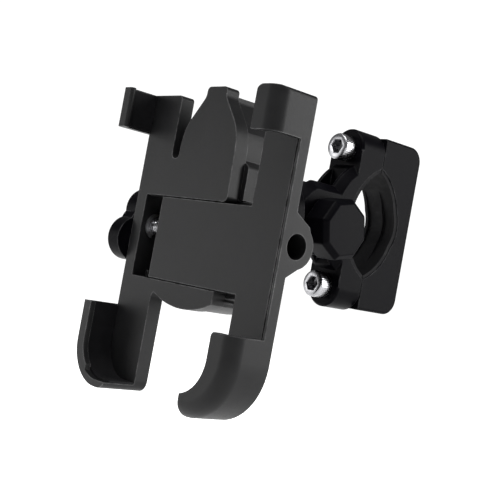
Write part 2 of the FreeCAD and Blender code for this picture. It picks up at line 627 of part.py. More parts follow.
def housing():
    i = D.house_inset
    y_a = y0 + D.plate_left
    y_b = y0 + D.house_back
    neck_l, neck_r = x_mid - D.neck_half + i, x_mid + D.neck_half - i
    side_l, side_r = x_mid - D.tongue_half + i, x_mid + D.tongue_half - i
    sh_a, sh_b = z0 - D.shoulder_top - i / 2, z0 - D.shoulder_low - i / 2
    low = z_bar - D.bar_height + 0.6
    block = prism("house_block", "XZ", [
        (side_l, sh_b - 4), (side_l + 1.2, sh_b), (neck_l, sh_a), (neck_l, z0 + 0.6),
        (neck_r, z0 + 0.6), (neck_r, sh_a), (side_r - 1.2, sh_b), (side_r, sh_b - 4),
        (side_r, z_window + 15), (x0 + D.bar_end - 0.2, z_window + 13), (x0 + D.bar_end - 0.2, low),
        (x0 + D.rail_width + 0.3, low), (x0 + D.rail_width + 0.3, z_window),
        (side_l, z_window)], y_a, y_b)
    ym = y_b - 3
    block = fillet("house_block_round", block, [
        ([(side_r - 1.2, ym, sh_b), (side_l + 1.2, ym, sh_b)], 1.0),
        ([(neck_l, ym, sh_a), (neck_r, ym, sh_a)], 3.0),
        ([(x0 + D.bar_end - 0.2, ym, z_window + 13)], 2.0)])
    bulge = common("house_bulge",
                   rod("house_disc", "Y", (0, z_axis), D.bulge_radius - 0.4, y_a, y_b),
                   box("house_box", (x_leg + i, y_a, z_bar - 12), (x0 + D.bar_end - i, y_b, z_bar)))
    hub = rod("house_hub", "Y", (0, z_axis), D.hub_radius, y_b - 1, y0 + D.seat_front)
    lug = box("house_lug", (x0 + D.bar_end - 2, y_a, low + 0.4),
              (x0 + D.bar_end + 6, y_a + 7, z_bar - D.wing_top - 0.4))
    body = fuse("house_body", [block, bulge, hub, lug])
    channel = box("house_channel", (x0, y_a - 1, z_bar + D.slide_gap - D.wing_top - D.slide_gap),
                  (x0 + 100, y0 + house_floor, z_window - D.slide_gap + D.wing_top + D.slide_gap))
    rib = box("channel_rib", (x0 + D.rail_width, y_a - 1, low),
              (x0 + D.rail_width + 1.6, y0 + 60, z_bar + 2.5))
    channel = cut("channel_room", channel, [rib])
    wall_room = box("wall_room", (x0 - 1, y_a - 1, z_bar - 8),
                    (x0 + D.rail_width + 0.3, y_screw + 6, z_window + 8))
    head = rod("bolt_head_room", "Y", (0, z_axis), 6.4, y0 + house_floor - 1, y0 + house_floor + 8)
    shank = rod("bolt_room", "Y", (0, z_axis), D.bolt_radius + 0.1, y0, y0 + 60)
    holes = []
    for n, spot in enumerate(joining_screws()):
        holes.append(rod("house_hole_%d" % n, "Y", spot, 1.6, y_a - 1, y_b + 1))
        holes.append(rod("house_sink_%d" % n, "Y", spot, 2.9, y_b - 3.2, y_b + 1))
    node(cut("base_housing", body, [channel, wall_room, head, shank] + holes), "base_housing")
    screws = []
    for n, spot in enumerate(joining_screws()):
        back = y_b - 3.2
        screw = fuse("joining_screw_%d" % n, [
            rod("joining_head_%d" % n, "Y", spot, 2.7, back, back + 2.6),
            rod("joining_shank_%d" % n, "Y", spot, 1.25, y0 + 1.8, back + 1)])
        hexagon = regular("joining_hex_%d" % n, "Y", spot, 6, 2.0, back + 1.2, back + 4)
        screws.append(cut("joining_cut_%d" % n, screw, [hexagon]))
    group = doc.addObject("Part::Compound", "housing_screws")
    group.Links = screws
    node(group, "housing_screws")


def swivel():
    axis = (0, z_axis)
    y_a, y_b = y0 + D.seat_front, y0 + D.seat_back
    ring = rod("seat_disc", "Y", axis, D.seat_radius, y_a, y_b)
    ring = chamfer("seat_disc_edge", ring,
                   [([(D.seat_radius, y_a, z_axis), (D.seat_radius, y_b, z_axis)], 0.7)])
    node(cut("swivel_seat", ring, [rod("seat_hole", "Y", axis, D.bolt_radius + 0.1, y_a - 1, y_b + 1)]),
         "swivel_seat")
    y_c = y_b + D.disc_gap
    node(cut("friction_washer", rod("friction_out", "Y", axis, D.seat_radius - 1.8, y_b, y_c - 0.1),
             [rod("friction_in", "Y", axis, D.bolt_radius + 0.3, y_b - 1, y_c + 1)]), "friction_washer")
    y_d = y0 + D.disc_back
    disc = rod("turn_disc", "Y", axis, D.seat_radius, y_c, y_d)
    disc = chamfer("turn_disc_edge", disc,
                   [([(D.seat_radius, y_c, z_axis), (D.seat_radius, y_d, z_axis)], 0.9)])
    lug = fuse("lug", [
        box("lug_web", (-D.lug_half, y_d - 2, z_axis - D.lug_radius),
            (D.lug_half, y_pivot, z_axis + D.lug_radius)),
        rod("lug_end", "X", (y_pivot, z_axis), D.lug_radius, -D.lug_half, D.lug_half)])
    body = fuse("swivel_lug_body", [disc, lug])
    node(cut("swivel_lug", body, [
        rod("lug_hole", "X", (y_pivot, z_axis), D.bolt_radius + 0.05, -D.lug_half - 1, D.lug_half + 1),
        rod("lug_thread", "Y", axis, D.bolt_radius, y_c - 1, y0 + D.disc_back + 4)]), "swivel_lug")
    y_h = y0 + house_floor + 7.95
    node(cut("spring_washer", rod("spring_out", "Y", axis, 5.2, y_h - 1.6, y_h),
             [rod("spring_in", "Y", axis, D.bolt_radius + 0.2, y_h - 2, y_h + 1),
              box("spring_split", (-0.5, y_h - 2, z_axis + 2),
                  (0.5, y_h + 1, z_axis + 6))]), "spring_washer")
    head = fillet("swivel_head", rod("swivel_head_rod", "Y", axis, D.head_radius, y_h - 1.7 - 5, y_h - 1.7),
                  [([(D.head_radius, y_h - 6.7, z_axis)], 0.6)])
    bolt = fuse("swivel_bolt_body",
                [head, rod("swivel_shank", "Y", axis, D.bolt_radius, y_h - 3, y0 + D.disc_back + 3)])
    node(cut("swivel_bolt", bolt, [regular("swivel_hex", "Y", axis, 6, 5.0, y_h - 8, y_h - 4)]),
         "swivel_bolt")


# ----------------------------------------------------------- tilt hardware

def tilt_joint():
    axis = (y_pivot, z_axis)
    half = D.clamp_width / 2
    discs = []
    for side, name in ((1, "right"), (-1, "left")):
        a, b = D.lug_half + D.side_gap, D.lug_half + D.side_gap + D.washer_thick
        low, high = (a, b) if side > 0 else (-b, -a)
        discs.append(cut("tilt_washer_" + name, rod("tilt_out_" + name, "X", axis, D.lug_radius, low, high),
                         [rod("tilt_in_" + name, "X", axis, D.bolt_radius + 0.2, low - 1, high + 1)]))
    group = doc.addObject("Part::Compound", "tilt_washers")
    group.Links = discs
    node(group, "tilt_washers")
    head_x = -half - 0.1
    head = fillet("tilt_head",
                  rod("tilt_head_rod", "X", axis, D.head_radius, head_x - D.head_height, head_x),
                  [([(head_x - D.head_height, y_pivot + D.head_radius, z_axis)], 0.6)])
    bolt = fuse("tilt_bolt_body", [head, rod("tilt_shank", "X", axis, D.bolt_radius, head_x - 1,
                                             half + D.nut_thick - 2.5)])
    node(cut("tilt_bolt", bolt, [regular("tilt_hex", "X", axis, 6, 5.0, head_x - D.head_height - 1,
                                         head_x - D.head_height + 3)]), "tilt_bolt")
    x_a, x_b = half + 0.3, half + 0.3 + D.nut_thick
    nut = regular("nut_prism", "X", axis, 8, D.nut_flats, x_a, x_b, 13.0)
    doc.recompute()
    face = [i for i, e in enumerate(nut.Shape.Edges, start=1) if e.BoundBox.XMin > x_b.value - 0.01]
    bevel = doc.addObject("Part::Chamfer", "nut_bevel")
    bevel.Base = nut
    bevel.Edges = [(i, 1.7, 1.7) for i in face]
    node(cut("tilt_lock_nut", bevel, [rod("nut_bore", "X", axis, D.bolt_radius + 0.05, x_a - 1, x_b - 2)]),
         "tilt_lock_nut")


# --------------------------------------------------------- handlebar clamp

def bore_form(name, grow, cusp, start, end):
    """The bore: a round seat for the bar between two flanks that meet in tips."""
    seat = rod(name + "_seat", "X", (0, 0), D.bar_radius + grow, start, end)
    apex, cusp = D.bore_apex + grow, as_size(cusp)
    curve = (apex * apex + cusp * cusp) / (2 * apex)
    flanks = common(name + "_flanks",
                    rod(name + "_front_arc", "X", (curve - apex, 0), curve, start, end),
                    rod(name + "_rear_arc", "X", (apex - curve, 0), curve, start, end))
    return fuse(name, [seat, flanks])


def screw_levels():
    return [("upper", 1), ("lower", -1)]


def clamp_front():
    half = D.clamp_width / 2
    y_split = -D.split_half
    ends = [rod("boss_" + name, "Y", (0, side * D.bolt_level), D.boss_radius, -D.boss_face, y_split)
            for name, side in screw_levels()]
    for n in range(2):
        ends[n] = chamfer("boss_edge_%d" % n, ends[n], [
            ([(D.boss_radius, -D.boss_face, (1 - 2 * n) * D.bolt_level)], 0.8)])
    arch = rod("arch_rod", "X", (0, 0), D.arch_radius, -half, half)
    arch = chamfer("arch_bevel", arch,
                   [([(side * half, 0, D.arch_radius) for side in (-1, 1)], D.edge_bevel)])
    arch = common("arch", arch, box("arch_box", (-half, -40, -D.bolt_level), (half, y_split, D.bolt_level)))
    shoulders = box("front_shoulders", (-half, -D.boss_face, -D.bolt_level), (half, y_split, D.bolt_level))
    up, down = z_axis + D.fork_up, z_axis - D.fork_down
    in_x, low, high = half - D.edge_bevel, down + D.edge_bevel, up - D.edge_bevel
    neck = prism("fork_block", "XZ", [
        (-half, low), (-in_x, down), (in_x, down), (half, low),
        (half, high), (in_x, up), (-in_x, up), (-half, high)], y_pivot - D.fork_round - 2, as_size(-14))
    nose = rod("fork_nose", "X", (y_pivot, z_axis), D.fork_round, -half, half)
    nose = chamfer("fork_bevel", nose, [
        ([(side * half, y_pivot, z_axis - D.fork_round) for side in (-1, 1)], D.edge_bevel)])
    lobe = fuse("fork_reach",
                [nose, box("fork_keep", (-half - 1, y_pivot, z_axis - 30), (half + 1, 0, z_axis + 30))])
    neck = common("fork_rounded", neck, lobe)
    body = fuse("front_body", [arch, shoulders, neck] + ends)
    tools = [
        bore_form("front_bore", D.bore_liner, D.recess_cusp, -half - 1, half + 1),
        box("fork_slot", (-D.lug_half - D.washer_thick - 2 * D.side_gap, y_pivot - 40, z_axis - 40),
            (D.lug_half + D.washer_thick + 2 * D.side_gap, y_pivot + D.lug_radius + 0.8, z_axis + 40)),
        rod("fork_bolt_hole", "X", (y_pivot, z_axis), D.bolt_radius + 0.05, -half - 1, half + 1)]
    for name, side in screw_levels():
        tools.append(rod("front_hole_" + name, "Y", (0, side * D.bolt_level), D.bolt_radius + 0.1, -40, 1))
    node(cut("clamp_front", body, tools), "clamp_front")


def clamp_rear():
    half = D.clamp_width / 2
    block = box("rear_block", (-half, D.split_half, -D.rear_half), (half, D.rear_depth, D.rear_half))
    block = fillet("rear_corners", block, [
        ([(0, D.rear_depth, D.rear_half), (0, D.rear_depth, -D.rear_half)], D.rear_round)])
    block = fillet("rear_edges", block, [
        ([(half, 10, D.rear_half), (-half, 10, D.rear_half)], 1.2)])
    tools = [bore_form("rear_bore", D.bore_liner, D.recess_cusp, -half - 1, half + 1)]
    for name, side in screw_levels():
        tools.append(rod("rear_hole_" + name, "Y", (0, side * D.bolt_level), D.bolt_radius + 0.05, -1, 17))
    node(cut("clamp_rear", block, tools), "clamp_rear")


def bore_liners():
    half = D.clamp_width / 2 - 0.4
    for name, side in (("front_liner", -1), ("rear_liner", 1)):
        outer = bore_form(name + "_outer", D.bore_liner, D.recess_cusp, -half, half)
        inner = bore_form(name + "_inner", as_size(0), D.bore_cusp, -half - 1, half + 1)
        low, high = (-40, -D.split_half) if side < 0 else (D.split_half, 40)
        keep = box(name + "_keep", (-half, low, -40), (half, high, 40))
        ring = common(name + "_half", cut(name + "_ring", outer, [inner]), keep)
        grooves = [bore_form(name + "_groove_a", D.groove_depth, D.groove_tip, D.rib_half, half - 1.3),
                   bore_form(name + "_groove_b", D.groove_depth, D.groove_tip, 1.3 - half, -D.rib_half)]
        node(cut(name, ring, grooves), name)


def clamp_screws():
    for name, side in screw_levels():
        axis = (0, side * D.bolt_level)
        y_h = -D.boss_face
        head = rod(name + "_head_rod", "Y", axis, D.head_radius, y_h - D.head_height, y_h)
        head = fillet(name + "_head", head,
                      [([(D.head_radius, y_h - D.head_height, side * D.bolt_level)], 0.7)])
        shank = rod(name + "_shank", "Y", axis, D.bolt_radius, y_h - 1, 15.5)
        body = fuse(name + "_screw_body", [head, shank])
        socket = regular(name + "_socket", "Y", axis, 6, 5.0, y_h - D.head_height - 1,
                         y_h - D.head_height + 3.4)
        node(cut(name + "_clamp_screw", body, [socket]), name + "_clamp_screw")


left_jaw()
right_jaw()
claw_pads()
clamping_screw()
wing_knob()
housing()
swivel()
tilt_joint()
clamp_front()
clamp_rear()
bore_liners()
clamp_screws()
doc.recompute()

for obj in doc.Objects:
    bad = [flag for flag in obj.State if flag in ("Invalid", "Error")]
    if bad:
        raise RuntimeError("%s did not build: %s" % (obj.Label, bad))

os.makedirs("parts", exist_ok=True)
for obj in NODES:
    if obj.Shape.isNull() or not obj.Shape.isValid():
        raise RuntimeError("the shape of %s is not valid" % obj.Label)
    if obj.Shape.Volume <= 0:
        raise RuntimeError("%s has no volume" % obj.Label)
    obj.Shape.exportStep("parts/%s.step" % obj.Label)
    print("%-20s %2d solid(s) %9.1f mm3" % (obj.Label, len(obj.Shape.Solids), obj.Shape.Volume))
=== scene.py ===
"""Looks, rounding, threads and studio for a phone handlebar mount."""

import json
import math

import bmesh
import bpy
from bpy.props import (
    FloatProperty,
    FloatVectorProperty,
    IntProperty,
    PointerProperty,
)
from mathutils import Matrix, Vector


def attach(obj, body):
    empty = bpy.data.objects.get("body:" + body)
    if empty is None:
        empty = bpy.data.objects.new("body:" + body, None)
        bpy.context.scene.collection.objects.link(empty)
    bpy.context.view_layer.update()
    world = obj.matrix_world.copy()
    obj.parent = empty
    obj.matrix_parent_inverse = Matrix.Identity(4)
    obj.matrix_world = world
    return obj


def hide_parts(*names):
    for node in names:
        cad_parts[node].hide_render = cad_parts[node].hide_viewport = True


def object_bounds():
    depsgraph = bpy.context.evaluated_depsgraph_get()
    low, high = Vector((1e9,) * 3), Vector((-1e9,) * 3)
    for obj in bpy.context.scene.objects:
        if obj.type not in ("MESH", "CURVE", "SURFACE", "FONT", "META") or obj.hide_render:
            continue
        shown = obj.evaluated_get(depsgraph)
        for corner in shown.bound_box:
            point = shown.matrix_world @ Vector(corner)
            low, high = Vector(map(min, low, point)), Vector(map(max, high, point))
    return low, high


bl_info = {
    "name": "Phone Handlebar Mount",
    "version": (1, 0, 0),
    "blender": (4, 5, 0),
    "location": "View3D > Sidebar > Phone Mount",
    "description": "Finishes, rounded edges, threads and studio for a phone handlebar mount",
    "category": "Object",
}

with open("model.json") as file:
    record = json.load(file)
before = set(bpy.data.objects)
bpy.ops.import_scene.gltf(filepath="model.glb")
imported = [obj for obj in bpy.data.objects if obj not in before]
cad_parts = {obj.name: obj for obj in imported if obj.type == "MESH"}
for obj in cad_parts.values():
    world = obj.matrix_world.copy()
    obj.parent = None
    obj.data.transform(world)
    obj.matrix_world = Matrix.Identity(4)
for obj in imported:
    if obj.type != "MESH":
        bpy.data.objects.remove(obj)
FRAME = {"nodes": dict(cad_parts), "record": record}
SIZE_AT_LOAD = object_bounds()
LOWEST = SIZE_AT_LOAD[0].z

MM = 0.001
WHITE = (1.0, 1.0, 1.0)

# M6 socket head screws
HEAD_RADIUS, HEAD_HEIGHT, SHANK_RADIUS = 5.0 * MM, 6.0 * MM, 3.0 * MM
SOCKET_FLATS, KNURL_DEPTH, SHANK_TIP = 5.0 * MM, 0.06 * MM, 0.6 * MM
CLAMP_SOCKET_DEPTH, TILT_SOCKET_DEPTH = 3.4 * MM, 3.0 * MM

# where the screws stand
CLAMP_LEVEL, CLAMP_SEAT, CLAMP_SCREW_END = 26.2 * MM, -12.6 * MM, 15.5 * MM
TILT_SEAT, TILT_END, TILT_Y, AXIS_Z = -8.1 * MM, 16.0 * MM, -24.6 * MM, -5.5 * MM

# the clamping screw of the jaws
LEAD_START, LEAD_END, LEAD_RADIUS = -42.0 * MM, 22.0 * MM, 2.5 * MM
LEAD_Y, LEAD_Z = -72.0 * MM, -16.5 * MM
CLIP_GROOVE, GROOVE_RADIUS = (-30.45 * MM, -29.55 * MM), 2.05 * MM
COLLAR, COLLAR_RADIUS = (-29.4 * MM, -28.7 * MM), 3.6 * MM
LEAD_TIP = 0.6 * MM

# mesh limits
THREAD_STEPS = 8  # rings in one turn of a thread
THREAD_DEPTH = 0.6  # of the pitch
WELD, WELD_ROUNDED = 0.005 * MM, 0.004 * MM
FLAT_ANGLE = math.radians(0.3)  # faces closer than this are one flat
SHARP_ANGLE = math.radians(28.0)  # edges sharper than this are rounded over
SMOOTH_ANGLE, SMOOTH_TURNED = math.radians(35.0), math.radians(32.0)

# painted edge highlight, which also stands for edge wear
HIGHLIGHT_AND_WEAR_WIDTH = 0.6 * MM
EDGE_AGREEMENT = (0.995, 0.90)  # how far the rounded normal leaves the true one

# studio
FLOOR_RADIUS = 9.0
AIM = (0.0, -0.05, -0.02)
KEY_PLACE, KEY_SIZE = (0.85, 0.75, 0.25), (0.5, 0.9)
TOP_PLACE, TOP_SIZE = (0.1, -0.5, 1.0), (0.9, 0.6)
FILL_PLACE, FILL_SIZE = (-0.75, -0.8, -0.1), (0.5, 0.7)


# ------------------------------------------------------------------ settings


class MountFinish(bpy.types.PropertyGroup):
    """Colours and surface detail of the mount's finishes."""

    jaw_colour: FloatVectorProperty(
        name="Jaw colour", description="Matt anodised finish of jaws and housing",
        default=(0.0050, 0.0050, 0.0053), size=3, subtype="COLOR", min=0.0, max=1.0)
    clamp_colour: FloatVectorProperty(
        name="Clamp colour", description="Darker anodised finish of clamp, knuckle and knob",
        default=(0.0011, 0.0010, 0.0016), size=3, subtype="COLOR", min=0.0, max=1.0)
    steel_colour: FloatVectorProperty(
        name="Steel colour", description="Bright plated screws",
        default=(0.29, 0.29, 0.30), size=3, subtype="COLOR", min=0.0, max=1.0)
    rubber_colour: FloatVectorProperty(
        name="Rubber colour", description="Liners and claw pads",
        default=(0.0022, 0.0021, 0.0026), size=3, subtype="COLOR", min=0.0, max=1.0)
    brass_colour: FloatVectorProperty(
        name="Brass colour", description="Threaded bushing of the slide",
        default=(0.62, 0.44, 0.19), size=3, subtype="COLOR", min=0.0, max=1.0)
    jaw_roughness: FloatProperty(
        name="Jaw roughness", description="Sheen of the matt finish", default=0.46,
        min=0.05, max=1.0, subtype="FACTOR")
    clamp_roughness: FloatProperty(
        name="Clamp roughness", description="Sheen of the darker finish", default=0.36,
        min=0.05, max=1.0, subtype="FACTOR")
    jaw_gloss: FloatProperty(
        name="Jaw gloss", description="Strength of the matt finish's reflections", default=0.14,
        min=0.0, max=1.0, subtype="FACTOR")
    clamp_gloss: FloatProperty(
        name="Clamp gloss", description="Strength of the darker finish's reflections", default=0.022,
        min=0.0, max=1.0, subtype="FACTOR")
    grain_size: FloatProperty(
        name="Grain size", description="Size of the blasted grain under the anodising",
        default=0.00022, min=0.00005, max=0.002, unit="LENGTH")
    grain_depth: FloatProperty(
        name="Grain depth", description="Depth of the blasted grain",
        default=0.000012, min=0.0, max=0.0002, unit="LENGTH")
    # Strength of the painted highlight on the rounded edges, which also stands for polish from
    # handling.
    edge_highlight_and_polish: FloatProperty(
        name="Edge shine", description="How much handling has polished the edges",
        default=0.7, min=0.0, max=1.0, subtype="FACTOR")


class MountEdges(bpy.types.PropertyGroup):
    """Rounded edges and screw threads."""

    jaw_edge: FloatProperty(
        name="Jaw edges", description="Radius of the broken edges on jaws and housing",
        default=0.00042, min=0.0, max=0.001, unit="LENGTH")
    clamp_edge: FloatProperty(
        name="Clamp edges", description="Radius of the broken edges on the clamp",
        default=0.00045, min=0.0, max=0.001, unit="LENGTH")
    edge_steps: IntProperty(
        name="Edge steps", description="Facets across a rounded edge", default=2, min=1, max=6)
    lead_pitch: FloatProperty(
        name="Clamping screw pitch", description="Thread pitch of the jaws' screw",
        default=0.0008, min=0.0004, max=0.002, unit="LENGTH")
    clamp_pitch: FloatProperty(
        name="Clamp screw pitch", description="Thread pitch of the bar clamp's screws",
        default=0.001, min=0.0004, max=0.002, unit="LENGTH")
    knurls: IntProperty(
        name="Knurls", description="Ribs round a socket head", default=36, min=12, max=80)


class MountStudio(bpy.types.PropertyGroup):
    """Floor, lights and camera."""

    floor_colour: FloatVectorProperty(
        name="Floor colour", description="Plain pale floor", default=(0.93, 0.93, 0.93),
        size=3, subtype="COLOR", min=0.0, max=1.0)
    floor_drop: FloatProperty(
        name="Floor below the mount", description="Gap from the lowest claw to the floor",
        default=0.03, min=0.0, max=1.0, unit="LENGTH")
    world_light: FloatProperty(
        name="Room light", description="Even light from all round", default=0.25,
        min=0.0, max=10.0)
    wall_light: FloatProperty(
        name="Backdrop", description="Brightness of the plain backdrop", default=1.1,
        min=0.0, max=10.0)
    floor_glow: FloatProperty(
        name="Floor glow", description="Light from below through the pale floor", default=0.9,
        min=0.0, max=10.0)
    key_power: FloatProperty(
        name="Key power", description="Soft light behind the right side", default=16.0,
        min=0.0, max=500.0)
    top_power: FloatProperty(
        name="Top power", description="Soft light from above", default=14.0, min=0.0, max=500.0)
    fill_power: FloatProperty(
        name="Fill power", description="Light at the left front", default=4.2, min=0.0, max=500.0)
    lens: FloatProperty(
        name="Lens", description="Focal length on a 36 mm sensor", default=75.24,
        min=10.0, max=300.0, unit="CAMERA")
    azimuth: FloatProperty(
        name="Azimuth", description="Camera's turn to the right of straight on",
        default=math.radians(48.6), unit="ROTATION")
    elevation: FloatProperty(
        name="Elevation", description="Camera's angle above the horizon",
        default=math.radians(-1.44), unit="ROTATION")
    roll: FloatProperty(
        name="Roll", description="Camera's tilt about its own axis",
        default=math.radians(10.41), unit="ROTATION")
    stand: FloatVectorProperty(
        name="Camera place", description="Where the camera stands", size=3,
        default=(0.2770, -0.2961, -0.0281), unit="LENGTH")


# ------------------------------------------------------------- shader maths


class Sock:
    """A value in a shader graph; Python operators add Math nodes to it."""

    def __init__(self, graph, source):
        self.graph, self.source = graph, source

    def _math(self, operation, *values):
        return self.graph.node("ShaderNodeMath", {"operation": operation}, dict(enumerate(values)))[0]

    def __add__(self, other):
        return self._math("ADD", self, other)

    def __sub__(self, other):
        return self._math("SUBTRACT", self, other)

    def __rsub__(self, other):
        return self._math("SUBTRACT", other, self)

    def __mul__(self, other):
        return self._math("MULTIPLY", self, other)

    __radd__ = __add__
    __rmul__ = __mul__

    def between(self, low, high, to_low=0.0, to_high=1.0):
        """Stretch low..high to the new limits, and stop there."""
        return self.graph.node("ShaderNodeMapRange", {"clamp": True}, {
            "Value": self, "From Min": low, "From Max": high, "To Min": to_low, "To Max": to_high})[0]


class Graph:
    """A node graph that is filled in by one method."""

    def __init__(self, tree):
        self.tree = tree

    def node(self, kind, settings=None, sockets=None):
        """Add a node: its settings first, then values or links for its sockets."""
        made = self.tree.nodes.new(kind)
        for key, value in (settings or {}).items():
            setattr(made, key, value)
        for key, value in (sockets or {}).items():
            self.join(made.inputs[key], value)
        return Outputs(self, made)

    def join(self, socket, value):
        """Link a socket to another one, or give it a value."""
        if isinstance(value, Sock):
            self.tree.links.new(value.source, socket)
        elif isinstance(value, (tuple, list)) and len(value) == 3 and socket.type == "RGBA":
            socket.default_value = (*value, 1.0)
        else:
            socket.default_value = value


class Finish(Graph):
    """A procedural material under construction."""

    def __init__(self, name):
        self.material = bpy.data.materials.new(name)
        self.material.use_nodes = True
        super().__init__(self.material.node_tree)
        self.shader = self.tree.nodes["Principled BSDF"]
        self.place = self.node("ShaderNodeTexCoord")["Object"]

    def set(self, **sockets):
        for key, value in sockets.items():
            self.join(self.shader.inputs[key.replace("_", " ")], value)
        return self

    def noise(self, size, detail=2.0, roughness=0.5):
        """Noise whose features are about this many metres across."""
        return self.node("ShaderNodeTexNoise", None, {
            "Vector": self.place, "Scale": 1.0 / size, "Detail": detail, "Roughness": roughness})["Fac"]

    def mix(self, amount, one, other):
        """Blend two colours."""
        return self.node("ShaderNodeMix", {"data_type": "RGBA"}, {0: amount, 6: one, 7: other})[2]

    def edges(self, width):
        """A mask that is 1 on edges rounder than the width and 0 on flats."""
        round_normal = self.node("ShaderNodeBevel", {"samples": 6}, {"Radius": width})["Normal"]
        true_normal = self.node("ShaderNodeNewGeometry")["Normal"]
        agree = self.node("ShaderNodeVectorMath", {"operation": "DOT_PRODUCT"},
                          {0: round_normal, 1: true_normal})["Value"]
        return agree.between(*EDGE_AGREEMENT)

    def bump(self, height, depth):
        return self.node("ShaderNodeBump", None, {
            "Height": height, "Distance": depth, "Strength": 1.0})["Normal"]


class Outputs:
    """A node's outputs, by name or number."""

    def __init__(self, finish, node):
        self.finish, self.node = finish, node

    def __getitem__(self, key):
        return Sock(self.finish, self.node.outputs[key])


# ----------------------------------------------------------------- finishes


def settings():
    return bpy.context.scene.mount_finish


def anodised(name, colour, roughness, gloss):
    """Blasted and anodised aluminium, with a painted highlight on its edges that also stands for polish
    from handling.
    """
    s = settings()
    f = Finish(name)
    cloud = f.noise(0.012, 3.0, 0.55)
    speck = f.noise(0.0009, 2.0, 0.6)
    grain = f.noise(s.grain_size, 2.0, 0.6)
    edge_patchiness = f.noise(0.004, 4.0, 0.7)
    # Painted highlight: the rounded edges are lightened in random patches, which also stands for wear
    # from handling.
    edge_highlight_and_wear = f.edges(HIGHLIGHT_AND_WEAR_WIDTH) * edge_patchiness.between(0.35, 0.65) * s.edge_highlight_and_polish
    light = tuple(min(1.0, c * 1.35 + 0.0004) for c in colour)
    dark = tuple(c * 0.78 for c in colour)
    # The lighter colour of the painted edge highlight and worn edges.
    highlight_and_wear_tone = tuple(min(1.0, c * 4.0 + 0.10) for c in colour)
    tone = f.mix(cloud.between(0.3, 0.7), dark, light)
    tone = f.mix(speck.between(0.62, 0.75) * 0.25, tone, light)
    tone = f.mix(edge_highlight_and_wear, tone, highlight_and_wear_tone)
    sheen = roughness + cloud.between(0.3, 0.7, -0.02, 0.02) + speck.between(0.4, 0.7, -0.02, 0.03)
    sheen = sheen - edge_highlight_and_wear * 0.12
    f.set(Base_Color=tone, Metallic=0.0, Roughness=sheen,
          Normal=f.bump(grain + speck * 0.6, s.grain_depth), Specular_IOR_Level=gloss)
    return f.material


def plated_steel(name, roughness=0.2):
    """Bright plated steel with fine turning marks and a few dull spots."""
    s = settings()
    f = Finish(name)
    smear = f.noise(0.0035, 4.0, 0.65)
    fine = f.noise(0.0003, 2.0, 0.5)
    dull = tuple(c * 0.62 for c in s.steel_colour)
    tone = f.mix(smear.between(0.45, 0.75) * 0.6, tuple(s.steel_colour), dull)
    sheen = roughness + smear.between(0.3, 0.7, -0.05, 0.12) + fine * 0.05
    f.set(Base_Color=tone, Metallic=1.0, Roughness=sheen, Normal=f.bump(fine, 0.000004))
    return f.material


def rubber(name):
    """Matt moulded rubber with a fine skin texture and a little dust."""
    s = settings()
    f = Finish(name)
    skin = f.noise(0.00035, 3.0, 0.6)
    dust = f.noise(0.003, 4.0, 0.6)
    grey = tuple(min(1.0, c * 2.4 + 0.002) for c in s.rubber_colour)
    tone = f.mix(dust.between(0.5, 0.75) * 0.5, tuple(s.rubber_colour), grey)
    f.set(Base_Color=tone, Roughness=dust.between(0.3, 0.7, 0.62, 0.8), Specular_IOR_Level=0.12,
          Normal=f.bump(skin, 0.00003))
    return f.material


def turned_brass(name):
    """Turned brass bushing."""
    s = settings()
    f = Finish(name)
    stain = f.noise(0.002, 3.0, 0.6)
    dull = tuple(c * 0.55 for c in s.brass_colour)
    tone = f.mix(stain.between(0.4, 0.7), tuple(s.brass_colour), dull)
    f.set(Base_Color=tone, Metallic=1.0, Roughness=stain.between(0.3, 0.7, 0.25, 0.42),
          Normal=f.bump(f.noise(0.0002), 0.000005))
    return f.material


def moulded_plastic(name):
    """Black acetal of the small washers."""
    f = Finish(name)
    skin = f.noise(0.0004, 2.0, 0.5)
    haze = f.noise(0.004, 3.0, 0.6)
    tone = f.mix(haze.between(0.35, 0.7), (0.010, 0.010, 0.011), (0.022, 0.022, 0.023))
    f.set(Base_Color=tone, Roughness=haze.between(0.3, 0.7, 0.42, 0.58), Normal=f.bump(skin, 0.000012))
    return f.material


MATERIALS = {}


def finish_for(slot):
    """The finished material of a slot, made once."""
    s = settings()
    if slot not in MATERIALS:
        make = {
            "dark_anodised": lambda: anodised(slot, s.jaw_colour, s.jaw_roughness, s.jaw_gloss),
            "black_anodised": lambda: anodised(slot, s.clamp_colour, s.clamp_roughness, s.clamp_gloss),
            "bright_steel": lambda: plated_steel(slot),
            "spring_steel": lambda: plated_steel(slot, 0.34),
            "black_rubber": lambda: rubber(slot),
            "bushing_brass": lambda: turned_brass(slot),
            "washer_plastic": lambda: moulded_plastic(slot),
        }
        MATERIALS[slot] = make[slot]()
    return MATERIALS[slot]


SLOT_OF = {s["node"]: s["material_slot"] for s in FRAME["record"]["subparts"]}
BODY_OF = {n: body for body, nodes in FRAME["record"]["behaviour"]["bodies"].items() for n in nodes}


def coat(node):
    """Give a CAD node's own mesh its finished material."""
    obj = FRAME["nodes"][node]
    obj.data.materials.clear()
    obj.data.materials.append(finish_for(SLOT_OF[node]))
    return obj


def piece(name, mesh, *nodes):
    """Add a mesh that stands for CAD nodes and rides on their body."""
    obj = bpy.data.objects.new(name, mesh)
    bpy.context.scene.collection.objects.link(obj)
    mesh.materials.clear()
    mesh.materials.append(finish_for(SLOT_OF[nodes[0]]))
    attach(obj, BODY_OF[nodes[0]])
    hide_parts(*nodes)
    even = obj.modifiers.new("even_shading", "WEIGHTED_NORMAL")
    even.keep_sharp = True
    return obj


def shade(bm, limit=SMOOTH_ANGLE):
    """Smooth shading that breaks at the sharper edges."""
    for face in bm.faces:
        face.smooth = True
    for edge in bm.edges:
        edge.smooth = len(edge.link_faces) == 2 and edge.calc_face_angle(0.0) < limit


